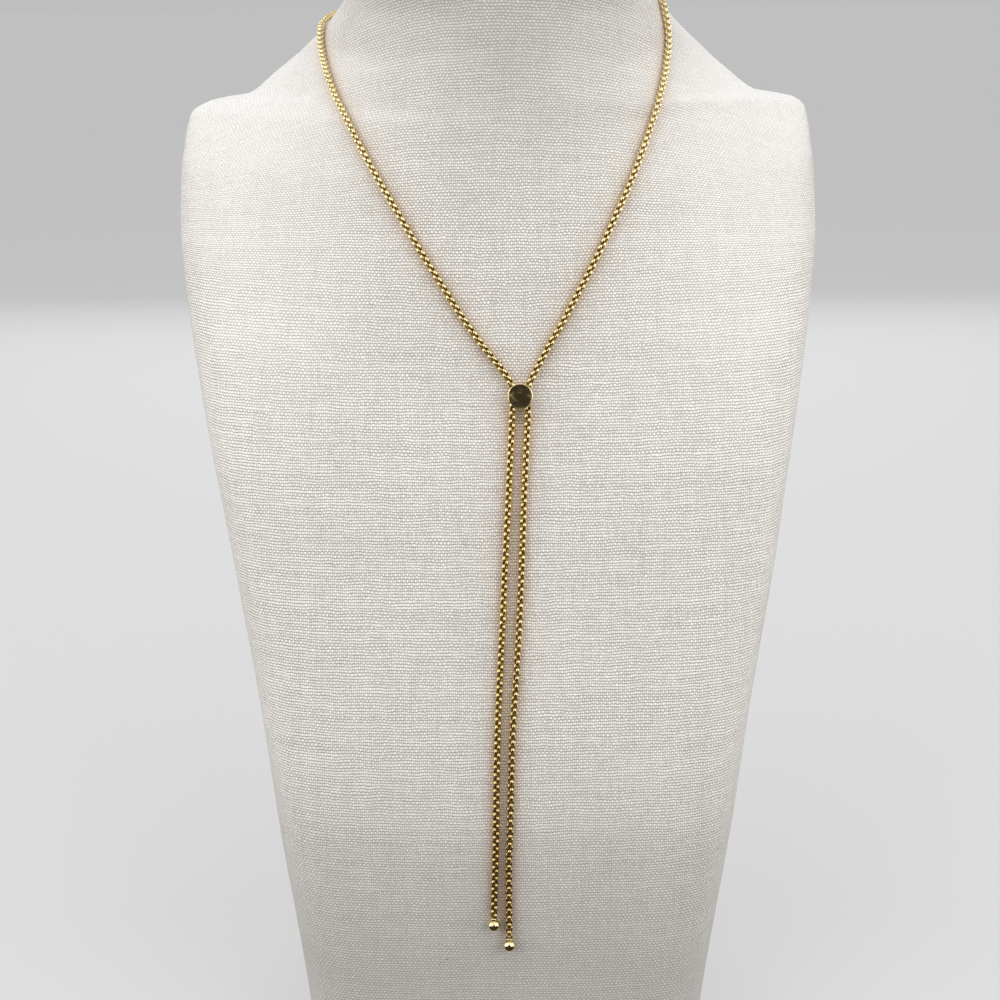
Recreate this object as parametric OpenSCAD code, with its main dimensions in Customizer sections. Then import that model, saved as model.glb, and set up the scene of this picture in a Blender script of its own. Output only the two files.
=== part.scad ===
// Y necklace of the bolo kind on the linen-covered neck bust that holds it. Millimetres, +Z up.
// The origin is the middle of the bust's flat base, and the bust faces -Y.

/* [Bust] */
// Height of the bust
bust_h = 390; // [360:5:420]
// Width across the shoulders
shoulder_w = 226; // [205:1:250]
// Height between two rings of the bust's surface
ring_step = 8; // [7:1:12]
// Points in each ring of the bust's surface
ring_points = 64; // [56:8:80]
// Bow of the back as a share of its depth
back_bow = 0.15; // [0:0.05:0.4]

/* [Chain] */
// Diameter of the round box chain
chain_d = 2.5; // [2:0.1:2.7]
// Clear gap between the metal and the linen
gap = 0.3; // [0.2:0.05:0.6]
// How far the chain stands off the linen behind the neck, past the gap
nape_slack = 0.5; // [0.4:0.1:2]

/* [Slider] */
// Diameter of the slider disc
slider_d = 8; // [7.8:0.1:10]
// Thickness of the slider disc
slider_t = 4; // [3.8:0.1:6]
// Rounding of the disc's rims
slider_round = 0.25; // [0.2:0.05:0.8]
// Distance between the middles of its two holes
strand_gap = 4.9; // [4.8:0.1:5]
// Clear gap all round the chain in a hole
hole_clear = 0.12; // [0.1:0.01:0.2]
// Height of the slider's middle on the chest
slider_z = 233; // [229:0.5:236]

/* [Ball ends] */
// Diameter of each ball
ball_d = 4; // [3.4:0.1:5]
// Diameter of the collar that joins a ball to the chain's last link
collar_d = 1.8; // [1.5:0.1:2.4]
// Height of the collar above the ball's top
collar_h = 0.5; // [0.4:0.1:1]

/* [Hidden] */
round_fn = 64;
tube_sides = 8;
seat_gap = 0.1;

// Columns of the bust's section table
HEIGHT = 0;
MIDDLE = 1;
HALF = 2;
FRONT = 3;
SIDE = 4;
BACK = 5;
SLOPE = 6;
CORNER = 7;
// A row for each section: height, x of its middle, half width, depth of the front, side and back lines,
// how far the front falls back to the sides for each millimetre outward, and the corner's power
SECTIONS = [
    [0, 0, 65, -71.5, -2, 71.5, 0.05, 7],
    [2.5, 0, 67, -73, -2, 73, 0.05, 7],
    [30, 0.2, 70, -71.5, 0, 73.5, 0.05, 7],
    [60, 0.4, 74, -70, 4, 74, 0.05, 7],
    [80, 0.5, 77, -68.5, 7, 74, 0.05, 7],
    [95, 0.6, 79, -67, 9, 74, 0.05, 7],
    [110, 0.7, 81, -64, 11, 74, 0.05, 7],
    [130, 0.8, 84, -59, 15, 75, 0.05, 7],
    [170, 0.9, 91.5, -47, 24, 78, 0.06, 7],
    [205, 0.3, 98, -36.5, 34, 83, 0.08, 7],
    [235, -0.1, 104.5, -26.5, 43, 89, 0.14, 6],
    [260, -0.3, 109.5, -18.5, 50, 95, 0.26, 5.5],
    [280, -0.4, 112.5, -12.5, 55, 101, 0.38, 5],
    [298, -0.5, 113, -7.5, 59, 106, 0.52, 4.5],
    [310, -0.3, 112.3, -4.5, 62, 110, 0.68, 4],
    [317, 0, 111, -3, 64, 112, 0.8, 3.5],
    [321, 1.2, 105.5, -2.2, 65, 114, 0.88, 3],
    [323.5, 1.3, 91.5, -1.7, 65.5, 115, 0.912, 3],
    [330, 1.1, 82.5, -1, 67, 116, 1.07, 2.8],
    [340, 1.6, 70.3, -0.3, 68, 118, 1.28, 2.5],
    [350, 1.5, 60, 0, 68, 119, 1.15, 2.3],
    [360, 1.1, 53, 0, 67, 119, 0.45, 2.2],
    [375, 1.1, 49.5, 0, 66, 118, 0.15, 2.1],
    [386, 1.1, 48.5, 0, 66, 118, 0.1, 2.1],
    [390, 1.1, 45, 3.5, 66, 114.5, 0.1, 2.1]
];
TABLE_H = 390;
TABLE_HALF = 113;
// Half width of the flat middle of the chest, where the front starts to fall back
CHEST_FLAT = 40;
// The corner's power is no more than this on the back half
BACK_CORNER = 4;
tall = bust_h / TABLE_H;
wide = shoulder_w / 2 / TABLE_HALF;

// The chain's route, point by point. On the chest each point is [x, height], from the slider up to the neck.
LEFT_STRAND = [
    [-5.9, 248.9], [-11.3, 256.2], [-19, 267.8], [-26.5, 279.3], [-33.7, 290.8], [-38.6, 298.5], [-43.4, 306.2],
    [-48.2, 314.3], [-50.7, 318.3], [-53.1, 322.1], [-55.4, 326.4], [-57.5, 330.7], [-59.4, 335], [-60.6, 339],
    [-61.2, 342.6]
];
RIGHT_STRAND = [
    [15.4, 248], [20.2, 255.7], [24.7, 263.6], [29.2, 271.4], [33.5, 279.5], [37.6, 287.6], [41.8, 295.8],
    [45.6, 303.9], [49.2, 312.4], [51.1, 317], [52.7, 321.2], [54.2, 325.4], [55.6, 329.8], [56.8, 334.6],
    [57.6, 339.5], [57.7, 343.8]
];
// Round the neck each point is [degrees from the bust's front, height], from the left strand to the right one
NECK_ROUND = [
    [-70, 344.7], [-78, 346.1], [-87, 347.6], [-97, 348.8], [-109, 350.1], [-121, 352.4], [-134, 355.3],
    [-147, 358.1], [-159, 360.4], [-171, 362], [177, 362.8], [165, 363], [152, 362.8], [138, 362], [124, 360.6],
    [110, 359.4],
    [97, 358.2], [85, 356.8], [75, 355], [67, 352], [61, 348.6]
];
// Each tail's points are [x, height] again, from the slider down to its ball
LEFT_TAIL = [
    [3.5, 224.5], [3, 216], [2.2, 201.5], [1.1, 183], [0.1, 164.5], [-1, 146], [-1.9, 127.5], [-2.4, 111],
    [-2.6, 99], [-2.9, 87.5], [-3.4, 74.5]
];
RIGHT_TAIL = [
    [8.45, 224.5], [8, 216], [7.2, 201.5], [6.4, 183], [5.5, 165], [4.3, 147], [2.9, 128.5], [2.3, 111.5],
    [1.9, 99], [1.5, 87], [1.4, 67.5]
];
SLIDER_X = 6.2;
LEFT_BALL = [-3.6, 65.6];
RIGHT_BALL = [1.4, 58.2];
// Heights in the slider's own frame where a strand enters below, leaves above and has begun to spread
STRAND_IN = -3.6;
STRAND_OUT = 3.1;
STRAND_SPREAD = 4.2;
SPREAD = 0.55;

chain_lift = chain_d / 2 + gap;
ball_lift = ball_d / 2 + gap;
hole_d = chain_d + 2 * hole_clear;

// Smooth curve through the section table: each row's trend never overshoots its neighbours
function rise(i, col) = (SECTIONS[i + 1][col] - SECTIONS[i][col]) / (SECTIONS[i + 1][HEIGHT] - SECTIONS[i][HEIGHT]);
function trend(i, col) =
    i == 0 ? rise(0, col)
    : i == len(SECTIONS) - 1 ? rise(i - 1, col)
    : rise(i - 1, col) * rise(i, col) <= 0 ? 0
    : 2 * rise(i - 1, col) * rise(i, col) / (rise(i - 1, col) + rise(i, col));
function below(h, i = 0) = i >= len(SECTIONS) - 2 || SECTIONS[i + 1][HEIGHT] > h ? i : below(h, i + 1);
function blend(i, step, t, col) =
    let (a = SECTIONS[i][col], b = SECTIONS[i + 1][col], p = step * trend(i, col), q = step * trend(i + 1, col))
    a + t * p + t * t * (3 * (b - a) - 2 * p - q) + t * t * t * (2 * (a - b) + p + q);
function section(h) =
    let (i = below(h), step = SECTIONS[i + 1][HEIGHT] - SECTIONS[i][HEIGHT], t = (h - SECTIONS[i][HEIGHT]) / step)
    [for (col = [HEIGHT:CORNER]) col == HEIGHT ? h : blend(i, step, t, col)];

// Depth of the front and the back of a section at the share u of its half width, with v the share of its depth
function fall(s, x) = s[SLOPE] * (sqrt(x * x + CHEST_FLAT * CHEST_FLAT) - CHEST_FLAT);
function front_y(s, u, v) =
    s[FRONT] + fall(s, u * s[HALF]) + (s[SIDE] - s[FRONT] - fall(s, s[HALF])) * (1 - v);
function back_y(s, u, v) = s[BACK] + (s[SIDE] - s[BACK]) * (back_bow * u * u + (1 - back_bow) * (1 - v));
function to_size(p) = [p[0] * wide, p[1], p[2] * tall];

// Point of the bust so many degrees round from its front, at a height of the table
function bust_point(around, h) =
    let (
        s = section(h),
        m = cos(around) >= 0 ? s[CORNER] : min(s[CORNER], BACK_CORNER),
        r = pow(pow(abs(sin(around)), m) + pow(abs(cos(around)), m), -1 / m),
        u = sin(around) * r,
        v = abs(cos(around)) * r
    )
    to_size([s[MIDDLE] + u * s[HALF], cos(around) >= 0 ? front_y(s, u, v) : back_y(s, u, v), h]);
// Point of the bust's front at [x, height] of the table
function front_point(x, h) =
    let (
        s = section(h),
        u = min(abs(x - s[MIDDLE]) / s[HALF], 1),
        v = pow(1 - pow(u, s[CORNER]), 1 / s[CORNER])
    )
    to_size([x, front_y(s, u, v), h]);

function unit(v) = v / norm(v);
// Both lifts move a point straight out of the bust's surface
NEAR = 0.5;
function lift_front(x, h, lift) =
    front_point(x, h) + lift * unit(cross(
        front_point(x + NEAR, h) - front_point(x - NEAR, h),
        front_point(x, h + NEAR) - front_point(x, h - NEAR)));
function lift_round(around, h, lift) =
    bust_point(around, h) + lift * unit(cross(
        bust_point(around + NEAR, h) - bust_point(around - NEAR, h),
        bust_point(around, h + NEAR) - bust_point(around, h - NEAR)));

// The slider lies on the chest and leans back with it
slider_at = lift_front(SLIDER_X, slider_z, slider_t / 2 + gap);
chest_step = front_point(SLIDER_X, slider_z + NEAR) - front_point(SLIDER_X, slider_z - NEAR);
slider_lean = atan2(chest_step[1], chest_step[2]);
function in_slider(across, up) = slider_at + [across, up * sin(slider_lean), up * cos(slider_lean)];
function strand_in_slider(side) = [
    in_slider(side * strand_gap / 2, STRAND_IN),
    in_slider(side * strand_gap / 2, STRAND_OUT),
    in_slider(side * (strand_gap / 2 + SPREAD), STRAND_SPREAD)
];

// Each ball hangs at its tail's end, in line with the tail's last stretch
left_ball_at = lift_front(LEFT_BALL[0], LEFT_BALL[1], ball_lift);
right_ball_at = lift_front(RIGHT_BALL[0], RIGHT_BALL[1], ball_lift);
function tail_points(rows) = [for (p = rows) lift_front(p[0], p[1], chain_lift)];
function last(list) = list[len(list) - 1];
function ball_up(at, rows) = unit(last(tail_points(rows)) - at);
seat = ball_d / 2 + collar_h + seat_gap;
function tail_end(at, rows) = at + seat * ball_up(at, rows);

function reversed(list) = [for (i = [len(list) - 1:-1:0]) list[i]];
chain_route = concat(
    [tail_end(left_ball_at, LEFT_TAIL)],
    reversed(tail_points(LEFT_TAIL)),
    strand_in_slider(-1),
    tail_points(LEFT_STRAND),
    [for (p = NECK_ROUND) lift_round(p[0], p[1], chain_lift + nape_slack * pow(sin(p[0] / 2), 2))],
    reversed(tail_points(RIGHT_STRAND)),
    reversed(strand_in_slider(1)),
    tail_points(RIGHT_TAIL),
    [tail_end(right_ball_at, RIGHT_TAIL)]
);

// Direction of a route at point i, and the sideways direction carried along it without twist
function along(route, i) = unit(route[min(i + 1, len(route) - 1)] - route[max(i - 1, 0)]);
function square_to(v, dir) = unit(v - (v * dir) * dir);
function carried(route, i = 0, side = [1, 0, 0]) =
    i == len(route) ? []
    : let (now = square_to(side, along(route, i))) concat([now], carried(route, i + 1, now));

// Triangles that close a stack of rings, with a fan at each end
function wall(rings, n) = [
    for (i = [0:rings - 2], k = [0:n - 1])
        let (a = i * n + k, b = i * n + (k + 1) % n)
        each [[a, b, a + n], [b, b + n, a + n]]
];
function fans(rings, n) = concat(
    [for (k = [0:n - 1]) [rings * n, (k + 1) % n, k]],
    [for (k = [0:n - 1]) [rings * n + 1, (rings - 1) * n + k, (rings - 1) * n + (k + 1) % n]]
);
module stack(rings, start, end) {
    n = len(rings[0]);
    polyhedron(
        points = concat([for (ring = rings) each ring], [start, end]),
        faces = concat(wall(len(rings), n), fans(len(rings), n)),
        convexity = 6
    );
}

module sweep(route, radius, sides) {
    across = carried(route);
    rings = [
        for (i = [0:len(route) - 1])
            let (up = cross(along(route, i), across[i]))
            [for (k = [0:sides - 1])
                let (a = -360 * k / sides) route[i] + radius * (cos(a) * across[i] + sin(a) * up)]
    ];
    stack(rings, route[0], last(route));
}

ring_heights = concat(
    [for (i = [0:len(SECTIONS) - 2])
        let (step = SECTIONS[i + 1][HEIGHT] - SECTIONS[i][HEIGHT], n = max(2, ceil(step / ring_step)))
        each [for (k = [0:n - 1]) SECTIONS[i][HEIGHT] + step * k / n]],
    [TABLE_H]
);

module neck_bust() {
    rings = [
        for (h = ring_heights)
            [for (k = [0:ring_points - 1]) bust_point(180 - 360 * k / ring_points, h)]
    ];
    base = section(0);
    top = section(TABLE_H);
    color([0.86, 0.85, 0.82])
        stack(
            rings,
            to_size([0, (base[FRONT] + base[BACK]) / 2, 0]),
            to_size([0, (top[FRONT] + top[BACK]) / 2, TABLE_H])
        );
}

module chain() {
    color([0.82, 0.66, 0.33])
        sweep(chain_route, chain_d / 2, tube_sides);
}

// Half of the disc's outline, with both rims rounded
module slider_outline() {
    middle = slider_d / 2 - slider_round;
    half = slider_t / 2;
    translate([0, -half])
        square([middle, slider_t]);
    translate([0, slider_round - half])
        square([slider_d / 2, slider_t - 2 * slider_round]);
    for (side = [-1, 1])
        translate([middle, side * (half - slider_round)])
            circle(slider_round, $fn = round_fn);
}

module slider_disc() {
    color([0.78, 0.6, 0.28])
        translate(slider_at)
            rotate([90 - slider_lean, 0, 0])
                difference() {
                    rotate_extrude($fn = round_fn)
                        slider_outline();
                    for (side = [-1, 1])
                        translate([side * strand_gap / 2, 0, 0])
                            rotate([90, 0, 0])
                                cylinder(d = hole_d, h = 2 * slider_d, center = true, $fn = round_fn);
                }
}

module ball_end(at, up) {
    reach = ball_d / 2 + collar_h;
    sink = ball_d / 4;
    color([0.82, 0.65, 0.32])
        translate(at)
            rotate([0, acos(up[2]), atan2(up[1], up[0])]) {
                sphere(d = ball_d, $fn = round_fn);
                translate([0, 0, sink])
                    cylinder(d = collar_d, h = reach - sink, $fn = round_fn);
            }
}

module ball_left() {
    ball_end(left_ball_at, ball_up(left_ball_at, LEFT_TAIL));
}

module ball_right() {
    ball_end(right_ball_at, ball_up(right_ball_at, RIGHT_TAIL));
}

neck_bust();
chain();
slider_disc();
ball_left();
ball_right();
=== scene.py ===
"""A y necklace of the bolo kind, worn on the linen-covered neck bust that displays it."""

import math

import bmesh
import bpy
import numpy as np
from mathutils import Matrix, Vector

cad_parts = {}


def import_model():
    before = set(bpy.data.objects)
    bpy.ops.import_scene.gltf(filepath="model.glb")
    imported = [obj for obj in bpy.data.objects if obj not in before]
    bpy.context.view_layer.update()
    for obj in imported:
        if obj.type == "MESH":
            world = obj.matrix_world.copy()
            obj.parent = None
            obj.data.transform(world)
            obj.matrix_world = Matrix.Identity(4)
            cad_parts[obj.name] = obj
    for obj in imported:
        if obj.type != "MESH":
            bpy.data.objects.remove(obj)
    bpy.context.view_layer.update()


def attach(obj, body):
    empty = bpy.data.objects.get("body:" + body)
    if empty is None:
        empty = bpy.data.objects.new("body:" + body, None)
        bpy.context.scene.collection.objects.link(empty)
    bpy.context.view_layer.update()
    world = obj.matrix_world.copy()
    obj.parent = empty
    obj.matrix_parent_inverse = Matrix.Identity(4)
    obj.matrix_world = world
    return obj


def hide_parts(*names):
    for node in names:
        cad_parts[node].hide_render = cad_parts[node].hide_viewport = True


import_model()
MM = 0.001
SEED = 7

# The bust's sections, as in the part's source, in millimetres
HEIGHT, MIDDLE, HALF, FRONT, SIDE, BACK, SLOPE, CORNER = range(8)
SECTIONS = np.array([
    [0, 0, 65, -71.5, -2, 71.5, 0.05, 7],
    [2.5, 0, 67, -73, -2, 73, 0.05, 7],
    [30, 0.2, 70, -71.5, 0, 73.5, 0.05, 7],
    [60, 0.4, 74, -70, 4, 74, 0.05, 7],
    [80, 0.5, 77, -68.5, 7, 74, 0.05, 7],
    [95, 0.6, 79, -67, 9, 74, 0.05, 7],
    [110, 0.7, 81, -64, 11, 74, 0.05, 7],
    [130, 0.8, 84, -59, 15, 75, 0.05, 7],
    [170, 0.9, 91.5, -47, 24, 78, 0.06, 7],
    [205, 0.3, 98, -36.5, 34, 83, 0.08, 7],
    [235, -0.1, 104.5, -26.5, 43, 89, 0.14, 6],
    [260, -0.3, 109.5, -18.5, 50, 95, 0.26, 5.5],
    [280, -0.4, 112.5, -12.5, 55, 101, 0.38, 5],
    [298, -0.5, 113, -7.5, 59, 106, 0.52, 4.5],
    [310, -0.3, 112.3, -4.5, 62, 110, 0.68, 4],
    [317, 0, 111, -3, 64, 112, 0.8, 3.5],
    [321, 1.2, 105.5, -2.2, 65, 114, 0.88, 3],
    [323.5, 1.3, 91.5, -1.7, 65.5, 115, 0.912, 3],
    [330, 1.1, 82.5, -1, 67, 116, 1.07, 2.8],
    [340, 1.6, 70.3, -0.3, 68, 118, 1.28, 2.5],
    [350, 1.5, 60, 0, 68, 119, 1.15, 2.3],
    [360, 1.1, 53, 0, 67, 119, 0.45, 2.2],
    [375, 1.1, 49.5, 0, 66, 118, 0.15, 2.1],
    [386, 1.1, 48.5, 0, 66, 118, 0.1, 2.1],
    [390, 1.1, 45, 3.5, 66, 114.5, 0.1, 2.1],
], float)
TOP = SECTIONS[-1, HEIGHT]
CHEST_FLAT = 40.0
BACK_CORNER = 4.0
BACK_BOW = 0.15

# The chain's route, as in the part's source: [x, height] on the chest, [degrees, height] round the neck
LEFT_STRAND = [
    [-5.9, 248.9], [-11.3, 256.2], [-19, 267.8], [-26.5, 279.3], [-33.7, 290.8], [-38.6, 298.5],
    [-43.4, 306.2], [-48.2, 314.3], [-50.7, 318.3], [-53.1, 322.1], [-55.4, 326.4], [-57.5, 330.7],
    [-59.4, 335], [-60.6, 339], [-61.2, 342.6],
]
RIGHT_STRAND = [
    [15.4, 248], [20.2, 255.7], [24.7, 263.6], [29.2, 271.4], [33.5, 279.5], [37.6, 287.6],
    [41.8, 295.8], [45.6, 303.9], [49.2, 312.4], [51.1, 317], [52.7, 321.2], [54.2, 325.4],
    [55.6, 329.8], [56.8, 334.6], [57.6, 339.5], [57.7, 343.8],
]
NECK_ROUND = [
    [-70, 344.7], [-78, 346.1], [-87, 347.6], [-97, 348.8], [-109, 350.1], [-121, 352.4], [-134, 355.3],
    [-147, 358.1], [-159, 360.4], [-171, 362], [177, 362.8], [165, 363], [152, 362.8], [138, 362],
    [124, 360.6], [110, 359.4], [97, 358.2], [85, 356.8], [75, 355], [67, 352], [61, 348.6],
]
LEFT_TAIL = [
    [3.5, 224.5], [3, 216], [2.2, 201.5], [1.1, 183], [0.1, 164.5], [-1, 146], [-1.9, 127.5], [-2.4, 111],
    [-2.6, 99], [-2.9, 87.5], [-3.4, 74.5],
]
RIGHT_TAIL = [
    [8.45, 224.5], [8, 216], [7.2, 201.5], [6.4, 183], [5.5, 165], [4.3, 147], [2.9, 128.5], [2.3, 111.5],
    [1.9, 99], [1.5, 87], [1.4, 67.5],
]
SLIDER_X, SLIDER_Z = 6.2, 233.0
SLIDER_D, SLIDER_T, SLIDER_ROUND, HOLE_D = 8.0, 4.0, 0.25, 2.74
STRAND_GAP = 4.9
STRAND_IN, STRAND_OUT, STRAND_SPREAD, SPREAD = -3.6, 3.1, 4.2, 0.55
LEFT_BALL, RIGHT_BALL = (-3.6, 65.6), (1.4, 58.2)
BALL_D, COLLAR_D, COLLAR_H, SEAT_GAP = 4.0, 1.8, 0.5, 0.1
CHAIN_D, GAP, NAPE_SLACK = 2.5, 0.3, 0.5
# The real links lie on the cloth, closer than the source's clear gap
CHAIN_LIFT = CHAIN_D / 2 + 0.06

# A link of the round box chain: its pitch, the thickness and width of its strip
LINK_PITCH = 1.3
STRIP_T = 0.56
STRIP_W = 1.3
# Points round a link, and the power that squares its ring
RING_POINTS = 22
LINK_POWER = 2.5
# Cross-section of a link's strip: across its width, and out from its middle line
DOME = [math.radians(-12 + 204 * k / 8) for k in range(9)]
STRIP = [(-0.5 * math.cos(a), -0.3 + 0.8 * math.sin(a)) for a in DOME] + [(0.34, -0.5), (-0.34, -0.5)]
# Width of the strip where it passes inside its neighbours, as a share of its full width, and how it narrows
NARROW, NARROW_POWER = 0.66, 1.5
# Distances from the chain's middle within which its links take full painted shade and beyond which they take
# none
FULL_SHADE_WITHIN, NO_SHADE_BEYOND = 0.8, 1.1
# Heights between which the loop's links take painted light and keep only a share of their painted shade
LOOP_LIGHT_FROM, LOOP_LIGHT_TO = 262.0, 345.0
LOOP_SHADE_SHARE = 0.1
# Painted shade over the whole of a link at each height, darker down the tails
SHADE_HEIGHTS, HEIGHT_SHADE = [60, 225, 250], [0.5, 0.22, 0.04]
# How far a link is turned about the chain, in degrees, at lengths along it in millimetres
ROLLS = [(0, 45), (697, 45), (699, -45), (735, -40), (779, -24), (826, -18), (845, -3), (900, 0)]
# How far inside the slider the tails' links and the loop's meet, in millimetres
CUT_INSIDE = 3

# The bust's mesh: steps between its rings, and between its columns so many degrees apart up to so many
RING_STEP = 1.6
LEAST_RINGS = 3
COLUMN_STEPS = [(44, 0.65), (60, 0.9), (110, 1.4), (180, 1.9)]
CAP_RINGS = 10
CAP_MIDDLE = 1e-3

# Towards the neck the front's rows sag outward, less so far round the side, and the cloth turns with them
SAG_FROM, SAG_FULL, SAG, SAG_REACH, SAG_FADE = 263.0, 325.0, 0.0024, 120.0, 30.0
TURN_FROM, TURN_FULL, TURN, TURN_REACH = 316.0, 346.0, 0.156, 39.0
# The cloth's front and back panels meet at this angle from the front
SIDE_SEAM = 100.0
# Columns beside the middle of a panel over which the cloth's height up it is averaged
MIDDLE_COLUMNS = 20

# The painted warm bounce light of the gold on the cloth beside the chain: where it starts and how far it
# reaches
GLOW_START, GLOW_REACH = 0.2, 1.7
# Step along the chain at which its distance from the cloth is measured, and how many steps at a time
GLOW_STEP, GLOW_BATCH = 1.0, 64
# Lengths along the chain where the left tail ends and the right one begins
LEFT_TAIL_END, RIGHT_TAIL_START = 165, 702

# The linen's threads: their spacing in millimetres, and how far they wander, in threads
WARP_PITCH, WEFT_PITCH = 0.65, 0.95
WARP_DRIFT, WARP_DRIFT_SCALE = 0.55, 80
WEFT_DRIFT, WEFT_DRIFT_SCALE = 0.42, 95
DRIFT_SHIFT = 0.7
# How much wider a dot is than the gap beside it, and the powers that round it along and across the row
DOT_WIDE = 0.42
DOT_POWERS = 0.75, 0.95
DASH_POWERS = 0.6, 0.8
# Least and greatest size of a crossing, a thread and a slub
KNOT_SIZES = 0.76, 1.1
WARP_SIZES, WEFT_SIZES = (0.88, 1.06), (0.8, 1.1)
WARP_SLUBS, WEFT_SLUBS = (0.8, 1.2), (0.8, 1.22)
KNOT_SEEDS = 37.13, 1.37
WEFT_SEED = 91.7
# How slowly slubs change along their own thread, how fast from one thread to the next, and their seeds
WARP_SLUB_ALONG, WEFT_SLUB_ALONG, SLUB_ACROSS = 0.1, 0.07, 1.3
WARP_SLUB_SEED, WEFT_SLUB_SEED = 3.1, 7.7
# How high the weft stands, and what it gains between two pairs of heights in metres
WEFT_RISE, STREAKY_RISE = 0.5, 0.12
STREAKY_ABOVE, STREAKY_BELOW = (0.06, 0.11), (0.215, 0.26)
FUZZ, FUZZ_SCALE = 0.07, 4200
# The weave's relief at the foot and up the neck, where painted shade also greys the cloth: between these
# heights in metres, and how much relief is left
FOOT_FADE, FOOT_RELIEF = (0.045, 0.125), 0.6
NECK_FADE, NECK_RELIEF = (0.285, 0.345), 0.68
WEAVE_STRENGTH, WEAVE_DEPTH = 0.85, 0.14
# Heights of the weave at which its colour is that of a gap and of a crown, and the tone that relief keeps
GAP_HEIGHT, CROWN_HEIGHT = 0.06, 0.68
MIDDLE_TONE = 0.45
# The gaps' colour is partly the cloth's own and partly painted shade between the threads
LINEN_GAP = (0.307, 0.274, 0.233)
LINEN_CROWN = (0.84, 0.83, 0.806)
# Where the cloth faces up, its gaps are lighter: painted light from above
LINEN_GAP_LIT_ABOVE = (0.66, 0.65, 0.62)
FACING_UP = 0.35, 0.9
# Painted shade at the foot and up the neck
LINEN_PAINTED_SHADE = (0.6, 0.6, 0.6)
CLOUD_DARK, CLOUD_PALE = (0.955, 0.95, 0.945), (1.0, 0.998, 0.99)
CLOUD_SCALE = 42
# Specks of husk: their spacing, how rare they are, their sizes, how strong they are and their colour
HUSK_SCALE, HUSK_RARE, HUSK_SIZES, HUSK_STRENGTH = 105, 0.93, (0.02, 0.045), 0.75
HUSK = (0.16, 0.12, 0.08)
LINEN_ROUGH, LINEN_SHINE, LINEN_SHEEN, LINEN_SHEEN_ROUGH = 0.9, 0.15, 0.2, 0.4
WHITE = (1.0, 1.0, 1.0)
# The usual values of a noise
NOISE_LOW, NOISE_HIGH = 0.3, 0.7
SLUB_HIGH = 0.75

# Gold-tone plate: painted shade in the chain's hollows, painted light up the loop, and painted bounce light
# that it throws on the cloth
GOLD_PAINTED_SHADE = (0.34, 0.205, 0.028)
GOLD_LOOP_LIGHT = (0.98, 0.85, 0.5)
GOLD_BOUNCE_PAINT = (0.98, 0.82, 0.68)
PALE_ROUGH = 0.12
# Two tones of plate, least and greatest roughness, scale of the wear, and depth of its bumps in millimetres
CHAIN_PLATE = {
    "bright": (0.84, 0.69, 0.37), "deep": (0.75, 0.6, 0.29), "roughness": (0.24, 0.32),
    "wear_scale": 900, "bump_depth": 0.02,
}
POLISHED_PLATE = {
    "bright": (0.92, 0.76, 0.41), "deep": (0.84, 0.67, 0.32), "roughness": (0.05, 0.4),
    "wear_scale": 360, "bump_depth": 0.03,
}
# Values of the wear's noise over which the tone and the roughness change
TONE_WEAR, ROUGH_WEAR = (0.35, 0.7), (0.45, 0.7)
BUMP_STRENGTH = 0.25

# Loose ends of thread: how many, how thick, and in how many steps each bends
FIBRES, FIBRE_R, FIBRE_STEPS = 170, 0.045, 6
FIBRE_HEIGHTS = 15, 315
# Share of the threads that stand along the bust's sides, and between which angles
FIBRES_ASIDE, FIBRE_ASIDE = 0.75, (48, 100)
FIBRE_LENGTHS, FIBRE_CURLS = (0.8, 3.2), (0.2, 0.9)
FIBRE_OUT, FIBRE_ASTRAY, FIBRE_SUNK, FIBRE_BEND, FIBRE_TAPER = 0.8, 0.6, 0.1, 0.35, 0.7
FIBRE_DARK, FIBRE_PALE = (0.72, 0.69, 0.63), (0.93, 0.91, 0.87)
FIBRE_SCALE, FIBRE_ROUGH = 300, 0.8
# A direction that helps to find one square to a thread
ASKEW = (0.3, 0.2, 0.9)

# The polished pieces: steps round them, the length of the hole cutter, and edges too short to see
SLIDER_AROUND, HOLE_AROUND, BALL_AROUND = 96, 48, 64
SLIDER_RIM_STEPS, SLIDER_SIDE_STEPS, BALL_STEPS, COLLAR_STEPS = 6, 9, 36, 5
# Rings on the slider's faces and the collar's end, as shares of their radius, that keep them flat
FACE_RINGS, COLLAR_RING = (0.5, 0.985), 0.3
HOLE_REACH = 6
WELD = 0.004
COLLAR_ROUND = 0.3
SLIDER_SHARP, BALL_SHARP = 35, 40

# The stage: the floor, the sky and ground that light the cloth, and the room that the metal mirrors
FLOOR_HALF = 80.0
FLOOR_LIT = (0.22, 0.22, 0.22)
FLOOR_GLOW = (0.4, 0.4, 0.4)
FLOOR_PATCHY, FLOOR_SCALE, FLOOR_ROUGH = 0.97, 3, 0.9
SKY, SKY_TINT = 0.53, (1, 1, 1.03)
GROUND, GROUND_TINT = 0.07, (1, 0.97, 0.94)
HORIZON = -0.15, 0.15
ROOM_DARK = (0.04, 0.036, 0.034)
ROOM_LIGHT = (0.35, 0.35, 0.35)
ROOM_RISE = 0.46, 0.95
# Lamps, in metres and watts: name, place, width, depth and power. All aim at the chest
LAMPS_AIM = (0, -0.02, 0.22)
LAMPS = [
    ("overhead", (0, -0.56, 1.22), 1.9, 0.95, 5.6),
    ("behind", (0, 1.25, 0.6), 1.6, 0.8, 9),
    ("side_left", (-0.95, -0.08, 0.4), 0.8, 1.0, 6),
    ("side_right", (0.95, -0.08, 0.4), 0.8, 1.0, 6),
    ("front_left", (-0.85, -0.78, 0.72), 0.9, 0.9, 6.6),
    ("front_right", (0.85, -0.78, 0.72), 0.9, 0.9, 6.6),
]

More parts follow.
